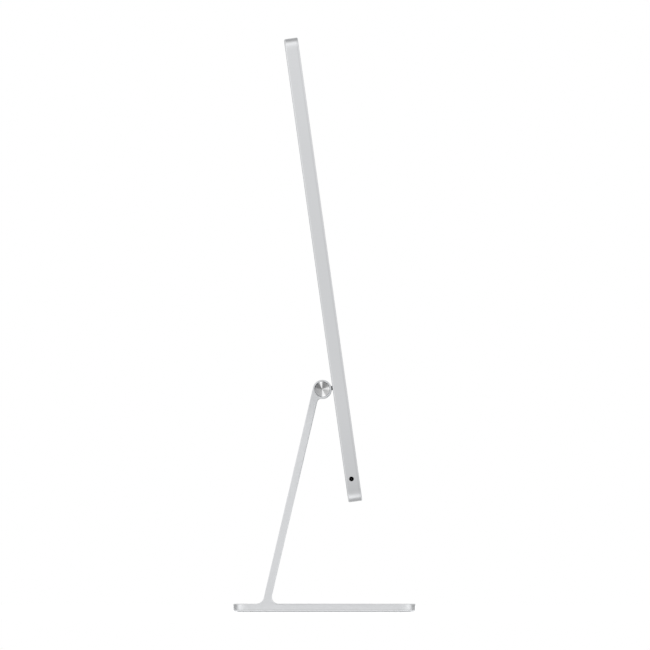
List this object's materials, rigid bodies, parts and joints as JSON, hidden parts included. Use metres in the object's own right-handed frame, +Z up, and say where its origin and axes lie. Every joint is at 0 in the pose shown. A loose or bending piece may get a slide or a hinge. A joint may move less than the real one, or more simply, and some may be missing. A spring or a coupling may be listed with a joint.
{
  "type": "all-in-one desktop computer",
  "caption": "Flat all-in-one desktop computer: thin metal display head with glass front, tilting on a round hinge barrel atop an L-shaped plate stand.",
  "frame": {"origin": "centre of the footprint on the resting plane", "axes": "+Z up, screen faces -Y, +X to the right of someone facing the screen"},
  "size_m": [0.547, 0.147, 0.4609],
  "materials": {
    "anodised_aluminium": "bead-blasted, satin anodised",
    "spun_aluminium": "turned, fine concentric grooves",
    "pad_rubber": "matt moulded",
    "dark_steel": "black oxide",
    "bright_steel": "plated",
    "friction_alloy": "satin",
    "bush_plastic": "natural bearing plastic",
    "screen_glass": "polished, printed border behind",
    "display_black": "smooth",
    "clear_acrylic": "clear with fine dot pattern",
    "sheet_aluminium": "rolled sheet",
    "led_white": "moulded",
    "circuit_board": "solder mask",
    "chip_black": "moulded, satin",
    "copper": "oxidised copper",
    "light_plastic": "moulded, fine texture",
    "cable_jacket": "flexible"
  },
  "bodies": {
    "stand": {"stand": "anodised_aluminium", "foot_pad": "pad_rubber", "hinge_end_cap_left": "spun_aluminium", "hinge_end_cap_right": "spun_aluminium", "hinge_bush_left": "bush_plastic", "hinge_bush_right": "bush_plastic", "torsion_springs": "dark_steel", "friction_washers": "friction_alloy"},
    "head": {"hinge_shaft": "bright_steel", "hinge_tongue": "dark_steel", "hinge_bracket": "bright_steel", "hinge_screws": "dark_steel", "rear_housing": "anodised_aluminium", "front_glass": "screen_glass", "display_adhesive": "display_black", "lcd_cell": "display_black", "light_guide": "clear_acrylic", "backlight_tray": "sheet_aluminium", "led_strip": "led_white", "display_driver_board": "circuit_board", "logic_board": "circuit_board", "processor": "chip_black", "board_chips": "chip_black", "board_shields": "bright_steel", "board_connectors": "bush_plastic", "heat_spreader": "copper", "heat_spreader_screws": "dark_steel", "heat_pipe": "copper", "fin_stack_left": "sheet_aluminium", "fin_stack_right": "sheet_aluminium", "fan_housing_left": "chip_black", "fan_housing_right": "chip_black", "fan_covers": "chip_black", "speaker_box_left": "chip_black", "speaker_box_right": "chip_black", "woofer_cones": "chip_black", "tweeters": "bright_steel", "port_board": "circuit_board", "usb_c_sockets": "bright_steel", "headphone_jack": "chip_black", "power_inlet": "light_plastic", "power_contacts": "friction_alloy", "power_switch": "chip_black", "button_retainer": "bright_steel", "camera_module": "chip_black", "microphones": "circuit_board", "antenna_window": "light_plastic", "antennas": "friction_alloy", "coin_cell": "bright_steel", "display_cable": "cable_jacket", "camera_cable": "cable_jacket", "speaker_cables": "cable_jacket", "io_cables": "cable_jacket", "grille_mesh": "chip_black", "board_screws": "dark_steel", "fan_screws": "dark_steel", "speaker_screws": "dark_steel"},
    "power_button": {"power_button": "anodised_aluminium"},
    "fan_left": {"fan_rotor_left": "chip_black"},
    "fan_right": {"fan_rotor_right": "chip_black"}
  },
  "joints": [
    {"name": "display_tilt", "type": "hinge", "parent": "stand", "child": "head", "pos_m": [0, 0.0017, 0.18], "axis": [-1, 0, 0], "range_deg": [-12.95, 12.05]},
    {"name": "power_button_press", "type": "slide", "parent": "head", "child": "power_button", "axis": [0, -0.9904, 0.1383], "range_m": [0, 0.0005], "stiffness_N_per_m": 2000},
    {"name": "fan_left_spin", "type": "hinge", "parent": "head", "child": "fan_left", "pos_m": [-0.12, -0.01975, 0.12039], "axis": [0, 0.9904, -0.1383], "continuous": true},
    {"name": "fan_right_spin", "type": "hinge", "parent": "head", "child": "fan_right", "pos_m": [0.12, -0.01975, 0.12039], "axis": [0, 0.9904, -0.1383], "continuous": true}
  ]
}
